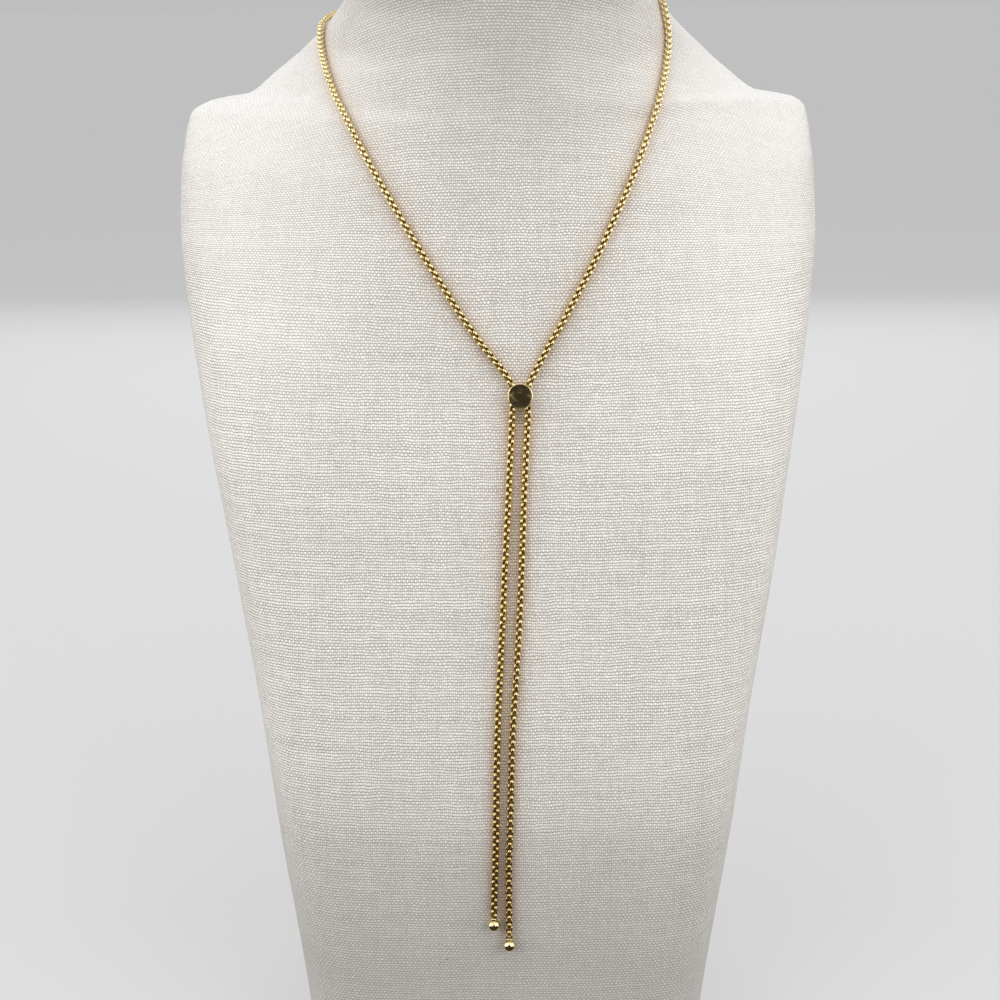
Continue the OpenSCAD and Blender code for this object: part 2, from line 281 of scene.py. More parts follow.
# The camera at the photo's angle: in millimetres, degrees and pixels
CAMERA_AT = (-0.5, -510.0, 355.0)
CAMERA_DOWN = 18.0
CAMERA_ROLL = 0.45
FOCAL_PX = 1540.0
FRAME_PX = 1000.0
SENSOR_WIDTH = 36.0
CLIP_START = 0.01


# The bust's surface, worked out as in the part's source

STEPS = np.diff(SECTIONS[:, HEIGHT])
RISES = np.diff(SECTIONS, axis=0) / STEPS[:, None]


def trends():
    """Slope of every column at each row: none where it turns, else the harmonic mean of its neighbours."""
    out = np.zeros_like(SECTIONS)
    out[0], out[-1] = RISES[0], RISES[-1]
    for i in range(1, len(SECTIONS) - 1):
        for col in range(SECTIONS.shape[1]):
            a, b = RISES[i - 1, col], RISES[i, col]
            out[i, col] = 2 * a * b / (a + b) if a * b > 0 else 0
    return out


TRENDS = trends()


def hermite(t, a, b, p, q):
    """Smooth blend from a to b, with slopes p and q at its ends."""
    return a + t * p + t ** 2 * (3 * (b - a) - 2 * p - q) + t ** 3 * (2 * (a - b) + p + q)


def section(h):
    """Row of the section table at a height, blended between its rows."""
    i = int(np.clip(np.searchsorted(SECTIONS[:, HEIGHT], h, side="right") - 1, 0, len(STEPS) - 1))
    step = STEPS[i]
    t = (h - SECTIONS[i, HEIGHT]) / step
    return hermite(t, SECTIONS[i], SECTIONS[i + 1], step * TRENDS[i], step * TRENDS[i + 1])


def fall(s, x):
    """How far the chest falls back at a distance from its middle."""
    return s[SLOPE] * (np.sqrt(x * x + CHEST_FLAT ** 2) - CHEST_FLAT)


def front_y(s, u, v):
    return s[FRONT] + fall(s, u * s[HALF]) + (s[SIDE] - s[FRONT] - fall(s, s[HALF])) * (1 - v)


def back_y(s, u, v):
    return s[BACK] + (s[SIDE] - s[BACK]) * (BACK_BOW * u * u + (1 - BACK_BOW) * (1 - v))


def bust_ring(degrees, h):
    """Points of the bust at angles from its front, all at one height."""
    s = section(h)
    a = np.radians(degrees)
    front = np.cos(a) > -1e-9
    m = np.where(front, s[CORNER], min(s[CORNER], BACK_CORNER))
    r = (np.abs(np.sin(a)) ** m + np.abs(np.cos(a)) ** m) ** (-1 / m)
    u, v = np.sin(a) * r, np.abs(np.cos(a)) * r
    y = np.where(front, front_y(s, u, v), back_y(s, u, v))
    return np.stack([s[MIDDLE] + u * s[HALF], y, np.full_like(y, h)], -1)


def bust_point(degrees, h):
    return bust_ring(np.array([float(degrees)]), h)[0]


def front_point(x, h):
    """Point of the bust's front at [x, height]."""
    s = section(h)
    u = min(abs(x - s[MIDDLE]) / s[HALF], 1)
    v = (1 - u ** s[CORNER]) ** (1 / s[CORNER])
    return np.array([x, front_y(s, u, v), h])


def unit(v):
    return v / np.linalg.norm(v)


def lift(point, a, h, by, near=0.5):
    """A point lifted straight off the surface that point() gives, with the direction of the lift."""
    n = unit(np.cross(point(a + near, h) - point(a - near, h), point(a, h + near) - point(a, h - near)))
    return point(a, h) + by * n, n


def ease(x, low, high):
    """Smooth step from 0 at low to 1 at high."""
    t = np.clip((x - low) / (high - low), 0, 1)
    return t * t * (3 - 2 * t)


# Materials

class Maths:
    """Short calls that add nodes to the tree of a material or a world."""

    def __init__(self, tree):
        self.nodes, self.links = tree.nodes, tree.links

    def put(self, socket, value):
        """Feed a socket from a number, a colour or another node."""
        if isinstance(value, (int, float)):
            socket.default_value = value
        elif isinstance(value, tuple):
            socket.default_value = (*value, 1)
        else:
            self.links.new(value, socket)

    def op(self, kind, a, b=0.0, c=0.0):
        node = self.nodes.new("ShaderNodeMath")
        node.operation = kind
        for socket, value in zip(node.inputs, (a, b, c)):
            self.put(socket, value)
        return node.outputs[0]

    def product(self, value, *others):
        for other in others:
            value = self.op("MULTIPLY", value, other)
        return value

    def mix(self, factor, low, high, blend="MIX"):
        """Blend of two colours."""
        node = self.nodes.new("ShaderNodeMix")
        node.data_type = "RGBA"
        node.blend_type = blend
        for k, value in ((0, factor), (6, low), (7, high)):
            self.put(node.inputs[k], value)
        return node.outputs[2]

    def times(self, one, other):
        """Product of two colours."""
        return self.mix(1.0, one, other, "MULTIPLY")

    def span(self, value, low, high, to_low=0.0, to_high=1.0):
        """A value's range stretched to another, and held at its ends."""
        node = self.nodes.new("ShaderNodeMapRange")
        for socket, given in zip(node.inputs[:5], (value, low, high, to_low, to_high)):
            self.put(socket, given)
        return node.outputs[0]

    def noise(self, vector, scale, detail=2.0, rough=0.5):
        node = self.nodes.new("ShaderNodeTexNoise")
        node.inputs["Scale"].default_value = scale
        node.inputs["Detail"].default_value = detail
        node.inputs["Roughness"].default_value = rough
        self.links.new(vector, node.inputs["Vector"])
        return node.outputs[0]

    def waver(self, vector, scale, by, detail=4, rough=0.75):
        """Noise that goes as far above zero as below it."""
        return self.span(self.noise(vector, scale, detail, rough), NOISE_LOW, NOISE_HIGH, -by, by)

    def slub(self, x, y, z, sizes):
        """Uneven thickness along a thread."""
        return self.span(self.noise(self.vector(x, y, z), 1.0, 1.0), NOISE_LOW, SLUB_HIGH, *sizes)

    def moved(self, vector, by):
        node = self.nodes.new("ShaderNodeVectorMath")
        node.operation = "ADD"
        self.links.new(vector, node.inputs[0])
        node.inputs[1].default_value = (by, by, by)
        return node.outputs[0]

    def random(self, value):
        node = self.nodes.new("ShaderNodeTexWhiteNoise")
        node.noise_dimensions = "1D"
        self.put(node.inputs["W"], value)
        return node.outputs[0]

    def vector(self, x, y, z):
        node = self.nodes.new("ShaderNodeCombineXYZ")
        for socket, value in zip(node.inputs, (x, y, z)):
            self.put(socket, value)
        return node.outputs[0]

    def parts(self, vector):
        node = self.nodes.new("ShaderNodeSeparateXYZ")
        self.links.new(vector, node.inputs[0])
        return node.outputs

    def place(self, kind="Object"):
        return self.nodes.new("ShaderNodeTexCoord").outputs[kind]

    def attribute(self, name):
        node = self.nodes.new("ShaderNodeAttribute")
        node.attribute_name = name
        return node.outputs["Fac"]

    def bump(self, shader, height, strength, depth):
        """Relief of a height that stands so many millimetres at most."""
        node = self.nodes.new("ShaderNodeBump")
        node.inputs["Strength"].default_value = strength
        node.inputs["Distance"].default_value = depth * MM
        self.links.new(height, node.inputs["Height"])
        self.links.new(node.outputs[0], shader.inputs["Normal"])


def new_material(name):
    """An empty node material, the calls that fill it, and its Principled shader."""
    mat = bpy.data.materials.new(name)
    mat.use_nodes = True
    m = Maths(mat.node_tree)
    m.nodes.clear()
    out = m.nodes.new("ShaderNodeOutputMaterial")
    shader = m.nodes.new("ShaderNodeBsdfPrincipled")
    m.links.new(shader.outputs[0], out.inputs[0])
    return mat, m, shader


def weave_height(m, place, level):
    """How high the woven threads stand: dots where the warp is on top, dashes where the weft is."""
    uv = m.nodes.new("ShaderNodeUVMap")
    uv.uv_map = "weave"
    across, up = m.parts(uv.outputs[0])[:2]
    # The threads wander a little, so the weave isn't ruled
    warp_drift = m.waver(place, WARP_DRIFT_SCALE, WARP_DRIFT)
    u = m.op("ADD", m.product(across, 1 / WARP_PITCH), warp_drift)
    weft_drift = m.waver(m.moved(place, DRIFT_SHIFT), WEFT_DRIFT_SCALE, WEFT_DRIFT)
    v = m.op("ADD", m.product(up, 1 / WEFT_PITCH), weft_drift)
    weft_id = m.op("FLOOR", v)
    along_row = m.op("ADD", u, weft_id)
    wave = m.op("SINE", m.product(along_row, math.pi))
    row = m.op("ABSOLUTE", m.op("SINE", m.product(v, math.pi)))

    def raised(wave_part, powers):
        along = m.op("POWER", m.op("MAXIMUM", wave_part, 0.0), powers[0])
        return m.product(along, m.op("POWER", row, powers[1]))

    warp_over = raised(m.op("DIVIDE", m.op("ADD", wave, DOT_WIDE), 1 + DOT_WIDE), DOT_POWERS)
    weft_over = raised(m.product(wave, -1.0), DASH_POWERS)
    # Each crossing, thread and slub has its own size
    count = m.op("FLOOR", m.product(m.op("ADD", along_row, 0.5), 0.5))
    warp_id = m.op("SUBTRACT", m.product(count, 2.0), weft_id)
    knot = m.random(m.op("MULTIPLY_ADD", weft_id, KNOT_SEEDS[0], m.product(warp_id, KNOT_SEEDS[1])))
    warp_size = m.span(m.random(warp_id), 0, 1, *WARP_SIZES)
    weft_size = m.span(m.random(m.op("ADD", weft_id, WEFT_SEED)), 0, 1, *WEFT_SIZES)
    warp_across, weft_across = m.product(warp_id, SLUB_ACROSS), m.product(weft_id, SLUB_ACROSS)
    warp_slub = m.slub(warp_across, m.product(v, WARP_SLUB_ALONG), WARP_SLUB_SEED, WARP_SLUBS)
    weft_slub = m.slub(m.product(u, WEFT_SLUB_ALONG), weft_across, WEFT_SLUB_SEED, WEFT_SLUBS)
    dots = m.product(warp_over, warp_size, warp_slub, m.span(knot, 0, 1, *KNOT_SIZES))
    # From the slider down to the tails' ends the weft stands higher, so the rows run together
    streaky = m.product(m.span(level, *STREAKY_ABOVE), m.span(level, *STREAKY_BELOW, 1, 0))
    weft_rise = m.op("MULTIPLY_ADD", streaky, STREAKY_RISE, WEFT_RISE)
    dashes = m.product(weft_over, weft_size, weft_slub, weft_rise)
    return m.op("ADD", m.op("MAXIMUM", dots, dashes), m.waver(place, FUZZ_SCALE, FUZZ, 2, 0.5))


def husk_specks(m, place):
    """A few small specks, no two alike."""
    cells = m.nodes.new("ShaderNodeTexVoronoi")
    cells.inputs["Scale"].default_value = HUSK_SCALE
    m.links.new(place, cells.inputs["Vector"])
    grain = m.nodes.new("ShaderNodeSeparateColor")
    m.links.new(cells.outputs["Color"], grain.inputs[0])
    rare = m.op("GREATER_THAN", grain.outputs[0], HUSK_RARE)
    small = m.op("LESS_THAN", cells.outputs["Distance"], m.span(grain.outputs[1], 0, 1, *HUSK_SIZES))
    return m.product(rare, small, HUSK_STRENGTH)


def linen():
    """Plain-woven off-white linen: rows of raised dots where warp threads pass over weft threads."""
    mat, m, shader = new_material("linen")
    place = m.place()
    level = m.parts(place)[2]
    height = weave_height(m, place, level)
    # The weave is flatter low on the chest and up the neck
    relief = m.product(m.span(level, *FOOT_FADE, FOOT_RELIEF, 1), m.span(level, *NECK_FADE, 1, NECK_RELIEF))
    m.bump(shader, m.product(height, relief), WEAVE_STRENGTH, WEAVE_DEPTH)
    # Colour: pale on the threads, grey-brown in the gaps, partly the cloth's own and partly painted shade
    # between the threads, with faint clouds
    # Painted light: the gaps are lighter where the cloth faces up
    facing = m.parts(m.nodes.new("ShaderNodeNewGeometry").outputs["Normal"])[2]
    gap = m.mix(m.span(facing, *FACING_UP), LINEN_GAP, LINEN_GAP_LIT_ABOVE)
    tone = m.op("SUBTRACT", m.span(height, GAP_HEIGHT, CROWN_HEIGHT), MIDDLE_TONE)
    colour = m.mix(m.op("MULTIPLY_ADD", tone, relief, MIDDLE_TONE), gap, LINEN_CROWN)
    clouds = m.span(m.noise(place, CLOUD_SCALE, 3, 0.6), NOISE_LOW, NOISE_HIGH)
    colour = m.times(colour, m.mix(clouds, CLOUD_DARK, CLOUD_PALE))
    # Painted shade: the cloth is a little greyer at the foot and up the neck, where the weave is flatter
    colour = m.times(colour, m.mix(m.op("SUBTRACT", 1.0, relief), WHITE, LINEN_PAINTED_SHADE))
    # Painted bounce light: the gold's warm reflected light painted on the cloth close beside it
    colour = m.times(colour, m.mix(m.attribute("painted_gold_bounce"), WHITE, GOLD_BOUNCE_PAINT))
    m.put(shader.inputs["Base Color"], m.mix(husk_specks(m, place), colour, HUSK))
    shader.inputs["Roughness"].default_value = LINEN_ROUGH
    shader.inputs["Specular IOR Level"].default_value = LINEN_SHINE
    shader.inputs["Sheen Weight"].default_value = LINEN_SHEEN
    shader.inputs["Sheen Roughness"].default_value = LINEN_SHEEN_ROUGH
    return mat


def gold(name, bright, deep, roughness, wear_scale, bump_depth):
    """Gold-tone plate, with painted shade in the hollows and painted light up the loop of the pieces that
    carry them. Its polish is faintly uneven and rougher in patches.
    """
    mat, m, shader = new_material(name)
    place, pale = m.place(), m.attribute("pale")
    wear = m.noise(place, wear_scale, 3, 0.6)
    # Painted light: the pale attribute lightens the plate up the loop
    plate = m.mix(pale, m.mix(m.span(wear, *TONE_WEAR), bright, deep), GOLD_LOOP_LIGHT)
    # Painted shade: darker in the links' hollows and down the tails
    m.put(shader.inputs["Base Color"], m.mix(m.attribute("painted_shade"), plate, GOLD_PAINTED_SHADE))
    duller = m.span(wear, *ROUGH_WEAR, *roughness)
    m.put(shader.inputs["Roughness"], m.op("MULTIPLY_ADD", pale, PALE_ROUGH, duller))
    m.bump(shader, m.noise(place, wear_scale * 2), BUMP_STRENGTH, bump_depth)
    shader.inputs["Metallic"].default_value = 1.0
    return mat


def fibre_material():
    mat, m, shader = new_material("fibre")
    m.put(shader.inputs["Base Color"], m.mix(m.noise(m.place(), FIBRE_SCALE), FIBRE_DARK, FIBRE_PALE))
    shader.inputs["Roughness"].default_value = FIBRE_ROUGH
    return mat


def floor_material():
    """Plain pale grey, with a faint glow of its own that evens out the lamps' pools of light."""
    mat, m, shader = new_material("floor")
    patchy = tuple(c * FLOOR_PATCHY for c in FLOOR_LIT)
    m.put(shader.inputs["Base Color"], m.mix(m.noise(m.place(), FLOOR_SCALE), patchy, FLOOR_LIT))
    shader.inputs["Roughness"].default_value = FLOOR_ROUGH
    shader.inputs["Emission Color"].default_value = (*FLOOR_GLOW, 1)
    shader.inputs["Emission Strength"].default_value = 1.0
    return mat


# Making meshes

def make_piece(name, verts, faces, material, node=None):
    """A smooth piece from points in millimetres, which rides on the one body and may replace a node."""
    mesh = bpy.data.meshes.new(name)
    mesh.from_pydata((np.asarray(verts) * MM).tolist(), [], faces)
    mesh.validate()
    mesh.polygons.foreach_set("use_smooth", [True] * len(mesh.polygons))
    mesh.materials.append(material)
    obj = bpy.data.objects.new(name, mesh)
    bpy.context.scene.collection.objects.link(obj)
    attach(obj, "root")
    if node:
        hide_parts(node)
    return obj


def set_attribute(obj, name, values):
    """Store a value at each point of a piece for its material."""
    attribute = obj.data.attributes.new(name, "FLOAT", "POINT")
    attribute.data.foreach_set("value", np.ravel(values).astype(np.float32))


# The bust

def column_angles():
    """Angles of the bust's columns from 180 down to -180 degrees, closest together across the chest."""
    half, at = [], 0.0
    for limit, step in COLUMN_STEPS:
        n = round((limit - at) / step)
        half += [at + (limit - at) * k / n for k in range(n)]
        at = float(limit)
    return np.array([180.0] + half[:0:-1] + half[:1] + [-a for a in half[1:]])


COLUMNS = column_angles()
AROUND = len(COLUMNS)


def ring_heights():
    """Heights of the bust's rings: closer together where the section table's rows are."""
    out = []
    for low, high in zip(SECTIONS[:-1, HEIGHT], SECTIONS[1:, HEIGHT]):
        n = max(LEAST_RINGS, math.ceil((high - low) / RING_STEP))
        out += [low + (high - low) * k / n for k in range(n)]
    return out + [TOP]


def running(lengths):
    """Running total of lengths along their last axis, from zero."""
    return np.pad(np.cumsum(lengths, axis=-1), [(0, 0)] * (lengths.ndim - 1) + [(1, 0)])


def weave_maps(heights, rings):
    """Where each ring's points lie on the front panel and on the back panel of the cloth: [across, up]."""
    middle = int(np.argmin(np.abs(COLUMNS)))
    run = running(np.linalg.norm(np.diff(rings, axis=1), axis=2))
    rises = np.linalg.norm(np.diff(rings, axis=0), axis=2)
    up_front = running(rises[:, middle - MIDDLE_COLUMNS:middle + MIDDLE_COLUMNS].mean(1))
    up_back = running(rises[:, :MIDDLE_COLUMNS].mean(1))
    along = run[:, middle:middle + 1] - run
    far = np.maximum(np.abs(along) - SAG_REACH, 0)
    sag = SAG * ease(heights, SAG_FROM, SAG_FULL)[:, None]
    bow = (np.abs(along) - far) ** 2 + 2 * SAG_REACH * SAG_FADE * (1 - np.exp(-far / SAG_FADE))
    turn = TURN * ease(heights, TURN_FROM, TURN_FULL)[:, None] * along ** 2 / (along ** 2 + TURN_REACH ** 2)
    front = np.stack([along * (1 - turn), up_front[:, None] + sag * bow], -1)
    from_back = np.where(np.arange(AROUND + 1) <= middle, 0, run[:, -1:]) - run
    back = np.stack([from_back, np.broadcast_to(up_back[:, None], from_back.shape)], -1)
    return front, back


def face_corners(low, high):
    """The four corners of each face between two rings, in the order in which its points are named."""
    return np.stack([low[:-1], high[:-1], high[1:], low[1:]], 1)


def cap_rings(ring):
    """Rings that shrink from an end ring to its middle."""
    centre = np.array([ring[:, 0].mean(), (ring[:, 1].min() + ring[:, 1].max()) / 2, ring[0, 2]])
    return [centre + (ring - centre) * max(1 - k / CAP_RINGS, CAP_MIDDLE) for k in range(1, CAP_RINGS + 1)]


def neck_bust(material):
    """The linen skin over the bust's closed form, with a weave map measured along the cloth."""
    heights = np.array(ring_heights())
    closed = np.append(COLUMNS, -180.0)
    body = np.array([bust_ring(closed, h) for h in heights])
    rings = np.concatenate([cap_rings(body[0])[::-1], body, cap_rings(body[-1])])
    front, back = weave_maps(heights, body)
    behind = (np.abs(closed[:-1] + closed[1:]) / 2 > SIDE_SEAM)[:, None, None]
    spread, faces = [], []
    for i in range(len(rings) - 1):
        k = i - CAP_RINGS
        if 0 <= k < len(body) - 1:
            corners = [face_corners(panel[k], panel[k + 1]) for panel in (back, front)]
            spread.append(np.where(behind, *corners))
        else:
            spread.append(face_corners(rings[i][:, :2], rings[i + 1][:, :2]))
        for k in range(AROUND):
            a, b = i * AROUND + k, i * AROUND + (k + 1) % AROUND
            faces.append((a, a + AROUND, b + AROUND, b))
    verts = rings[:, :-1].reshape(-1, 3)
    last = len(verts) - AROUND
    faces += [tuple(range(AROUND)), tuple(range(len(verts) - 1, last - 1, -1))]
    uv = np.concatenate([np.array(spread).reshape(-1, 2), verts[:AROUND, :2], verts[:last - 1:-1, :2]])
    obj = make_piece("linen_bust", verts, faces, material, "neck_bust")
    obj.data.uv_layers.new(name="weave").data.foreach_set("uv", uv.astype(np.float32).ravel())
    set_attribute(obj, "painted_gold_bounce", painted_gold_bounce(verts))


def painted_gold_bounce(verts):
    """How close each point of the cloth is to the chain, as the mask of its painted bounce light: 1 at its
    edge, falling off with distance.
    """
    run, at, _ = smooth_route(*chain_route(), GLOW_STEP)
    shares = np.zeros(len(verts))
    stops = [-1, LEFT_TAIL_END, run[-1] / 2, RIGHT_TAIL_START, np.inf]
    for low, high in zip(stops, stops[1:]):
        strand = at[(run >= low) & (run < high)]
        near = np.full(len(verts), np.inf)
        for a in range(0, len(strand), GLOW_BATCH):
            gaps = verts[:, None] - strand[None, a:a + GLOW_BATCH]
            near = np.minimum(near, np.einsum("ijk,ijk->ij", gaps, gaps).min(1))
        shares += np.exp(-np.maximum(np.sqrt(near) - CHAIN_D / 2 - GLOW_START, 0) / GLOW_REACH)
    return np.clip(shares, 0, 1)


def fibres(material):
    """Loose ends of thread that stand off the cloth."""
    rng = np.random.default_rng(SEED)
    verts, faces = [], []
    for _ in range(FIBRES):
        h = rng.uniform(*FIBRE_HEIGHTS)
        if rng.random() < FIBRES_ASIDE:
            a = rng.choice([-1, 1]) * rng.uniform(*FIBRE_ASIDE)
        else:
            a = rng.uniform(-180, 180)
        start, n = lift(bust_point, a, h, 0)
        way = unit(n * FIBRE_OUT + FIBRE_ASTRAY * unit(rng.normal(size=3)))
        curl = unit(np.cross(way, rng.normal(size=3))) * rng.uniform(*FIBRE_CURLS)
        length = rng.uniform(*FIBRE_LENGTHS)
        at = start - FIBRE_SUNK * n
        side = unit(np.cross(way, ASKEW))
        for k in range(FIBRE_STEPS + 1):
            r = FIBRE_R * (1 - FIBRE_TAPER * k / FIBRE_STEPS)
            other = unit(np.cross(way, side))
            base = len(verts)
            for j in range(3):
                b = 2 * math.pi * j / 3
                verts.append(at + r * (math.cos(b) * side + math.sin(b) * other))
                if k:
                    below, right = base - 3 + j, base - 3 + (j + 1) % 3
                    faces.append((below, right, right + 3, below + 3))
            at = at + way * length / FIBRE_STEPS
            way = unit(way + curl * FIBRE_BEND)
            side = unit(side - (side @ way) * way)
        root = base - 3 * FIBRE_STEPS
        faces += [(base, base + 1, base + 2), (root + 2, root + 1, root)]
    make_piece("loose_fibres", verts, faces, material)


# The chain

def slider_place():
    """The slider's middle, and how far its back leans with the chest."""
    at, _ = lift(front_point, SLIDER_X, SLIDER_Z, SLIDER_T / 2 + GAP)
    step = front_point(SLIDER_X, SLIDER_Z + 0.5) - front_point(SLIDER_X, SLIDER_Z - 0.5)
    return at, math.atan2(step[1], step[2])


def chain_route():
    """Points of the chain's middle and the outward direction at each, from the left ball to the right one."""
    at, lean = slider_place()
    face = np.array([0, -math.cos(lean), math.sin(lean)])

    def tail(rows):
        return [lift(front_point, x, h, CHAIN_LIFT) for x, h in rows]

    def in_slider(across, up):
        return at + np.array([across, up * math.sin(lean), up * math.cos(lean)]), face

    def strand(side):
        half = side * STRAND_GAP / 2
        spread = half + side * SPREAD
        return [in_slider(half, STRAND_IN), in_slider(half, STRAND_OUT), in_slider(spread, STRAND_SPREAD)]

    def end(ball, rows):
        centre, n = lift(front_point, *ball, BALL_D / 2 + GAP)
        last = tail(rows)[-1][0]
        return [(centre + (BALL_D / 2 + COLLAR_H + SEAT_GAP) * unit(last - centre), n)]

    neck = []
    for degrees, h in NECK_ROUND:
        by = CHAIN_LIFT + NAPE_SLACK * math.sin(math.radians(degrees) / 2) ** 2
        neck.append(lift(bust_point, degrees, h, by))
    rows = (
        end(LEFT_BALL, LEFT_TAIL) + tail(LEFT_TAIL)[::-1] + strand(-1) + tail(LEFT_STRAND) + neck
        + tail(RIGHT_STRAND)[::-1] + strand(1)[::-1] + tail(RIGHT_TAIL) + end(RIGHT_BALL, RIGHT_TAIL)
    )
    return np.array([p for p, n in rows]), np.array([n for p, n in rows])


def smooth_route(points, normals, fine=0.1):
    """The route as a fine curve through its points, with even steps, and the outward direction along it."""
    knots = running(np.linalg.norm(np.diff(points, axis=0), axis=1))
    slopes = np.gradient(points, knots, axis=0)
    at, side = [], []
    for i in range(len(points) - 1):
        step = knots[i + 1] - knots[i]
        t = np.linspace(0, 1, max(int(step / fine), 2), endpoint=False)[:, None]
        at.append(hermite(t, points[i], points[i + 1], step * slopes[i], step * slopes[i + 1]))
        side.append(normals[i] * (1 - t) + normals[i + 1] * t)
    at, side = np.concatenate(at + [points[-1:]]), np.concatenate(side + [normals[-1:]])
    return running(np.linalg.norm(np.diff(at, axis=0), axis=1)), at, side


def link_template():
    """One link lying in its plane: [out, along, across] for each point of its strip round the ring."""
    a_half = (CHAIN_D - STRIP_T) / 2
    t_half = (LINK_PITCH + STRIP_T) / 2
    ring = []
    for k in range(RING_POINTS):
        a = 2 * math.pi * (k + 0.5) / RING_POINTS
        c, s = math.cos(a), math.sin(a)
        r = (abs(c) ** LINK_POWER + abs(s) ** LINK_POWER) ** (-1 / LINK_POWER)
        c, s = c * r, s * r
        # Outward in the plane of the ring
        slant = [abs(c) ** (LINK_POWER - 1) / a_half, abs(s) ** (LINK_POWER - 1) / t_half]
        out, along = STRIP_T * unit(np.array(slant) * np.sign([c, s]))
        width = STRIP_W * (NARROW + (1 - NARROW) * min(abs(c), 1) ** NARROW_POWER)
        ring.append([(a_half * c + out * d, t_half * s + along * d, width * w) for w, d in STRIP])
    return np.array(ring)


def link_faces(rings, points):
    """Faces of one link, which closes on itself round its ring and round its strip."""
    faces = []
    for j in range(rings):
        here, ahead = j * points, (j + 1) % rings * points
        for k in range(points):
            after = (k + 1) % points
            faces.append((here + k, here + after, ahead + after, ahead + k))
    return faces


def links(name, route, first, last, pitch, material):
    """Links first to last of the chain as one piece, each turned a quarter from the one before."""
    run, at, side = route
    template = link_template()
    flat = template.reshape(-1, 3)
    own_faces = link_faces(*template.shape[:2])
    verts, faces, heights = [], [], []

    def value(rows, s):
        return np.array([np.interp(s, run, rows[:, k]) for k in range(3)])

    for i in range(first, last):
        s = (i + 0.5) * pitch
        middle = value(at, s)
        t = unit(value(at, s + pitch) - value(at, s - pitch))
        n = value(side, s)
        n = unit(n - (n @ t) * t)
        roll = math.radians(np.interp(s, *zip(*ROLLS)) + 90 * (i % 2))
        out = math.cos(roll) * n + math.sin(roll) * np.cross(t, n)
        start = len(verts) * len(flat)
        verts.append(middle + flat[:, :1] * out + flat[:, 1:2] * t + flat[:, 2:] * np.cross(t, out))
        faces += [tuple(start + corner for corner in face) for face in own_faces]
        heights.append(middle[2])
    obj = make_piece(name, np.concatenate(verts), faces, material, "chain")
    # Painted shade in the links' hollows and down the tails, and painted light up the loop
    depth = 1 - ease(np.hypot(flat[:, 0], flat[:, 2]), FULL_SHADE_WITHIN, NO_SHADE_BEYOND)
    up = ease(np.array(heights), LOOP_LIGHT_FROM, LOOP_LIGHT_TO)[:, None]
    height_shade = np.interp(heights, SHADE_HEIGHTS, HEIGHT_SHADE)[:, None]
    shade_share = height_shade + (1 - height_shade) * (1 - (1 - LOOP_SHADE_SHARE) * up) * depth
    set_attribute(obj, "painted_shade", shade_share)
    set_attribute(obj, "pale", np.broadcast_to(up, shade_share.shape))


def chain(material):
    """The real links, in four pieces that meet in the slider and behind the neck."""
    points, normals = chain_route()
    route = smooth_route(points, normals)
    run, at, _ = route
    count = round(run[-1] / LINK_PITCH)
    pitch = run[-1] / count

    def length_at(point):
        return run[int(np.argmin(np.linalg.norm(at - point, axis=1)))]

    enters = length_at(points[len(LEFT_TAIL) + 1]) + CUT_INSIDE
    leaves = length_at(points[-len(RIGHT_TAIL) - 2]) - CUT_INSIDE
    cuts = [0, round(enters / pitch), count // 2, round(leaves / pitch), count]
    names = ["tail_left_links", "loop_left_links", "loop_right_links", "tail_right_links"]
    for name, first, last in zip(names, cuts, cuts[1:]):
        links(name, route, first, last, pitch, material)


# The slider and the balls, made smooth in place of their CAD nodes

def revolved(profile, around):
    """Points and faces of a closed form turned about the z axis from its profile [radius, height]."""
    a = 2 * np.pi * np.arange(around) / around
    verts = [[0, 0, profile[0][1]]]
    for r, h in profile[1:-1]:
        verts += np.stack([r * np.cos(a), r * np.sin(a), np.full(around, float(h))], -1).tolist()
    verts.append([0, 0, profile[-1][1]])
    rows = len(profile) - 2
    faces = []
    for k in range(around):
        j = (k + 1) % around
        faces.append((0, 1 + j, 1 + k))
        for i in range(rows - 1):
            a0, b0 = 1 + i * around + k, 1 + i * around + j
            faces.append((a0, b0, b0 + around, a0 + around))
        top = 1 + (rows - 1) * around
        faces.append((len(verts) - 1, top + k, top + j))
    return np.array(verts), faces


def turned(verts, up, at):
    """Points turned so that their z axis runs along up, then moved to a place."""
    z = unit(np.array(up, float))
    x = unit(np.cross([0, 1, 0], z)) if abs(z[1]) < 0.9 else unit(np.cross(z, [0, 0, 1]))
    y = np.cross(z, x)
    return verts[:, :1] * x + verts[:, 1:2] * y + verts[:, 2:] * z + at


def arc(r, from_deg, to_deg, centre, steps):
    a = np.radians(np.linspace(from_deg, to_deg, steps + 1))
    return [(centre[0] + r * math.cos(t), centre[1] + r * math.sin(t)) for t in a]


def slider_profile():
    """Half the drum's outline, from the middle of one face round the rims to the middle of the other."""
    half, r = SLIDER_T / 2, SLIDER_D / 2
    flat, rim = r - SLIDER_ROUND, half - SLIDER_ROUND
    profile = [(0, -half)] + [(flat * share, -half) for share in FACE_RINGS]
    profile += arc(SLIDER_ROUND, -90, 0, (flat, -rim), SLIDER_RIM_STEPS)
    profile += [(r, h) for h in np.linspace(-rim, rim, SLIDER_SIDE_STEPS)[1:-1]]
    profile += arc(SLIDER_ROUND, 0, 90, (flat, rim), SLIDER_RIM_STEPS)
    return profile + [(flat * share, half) for share in FACE_RINGS[::-1]] + [(0, half)]


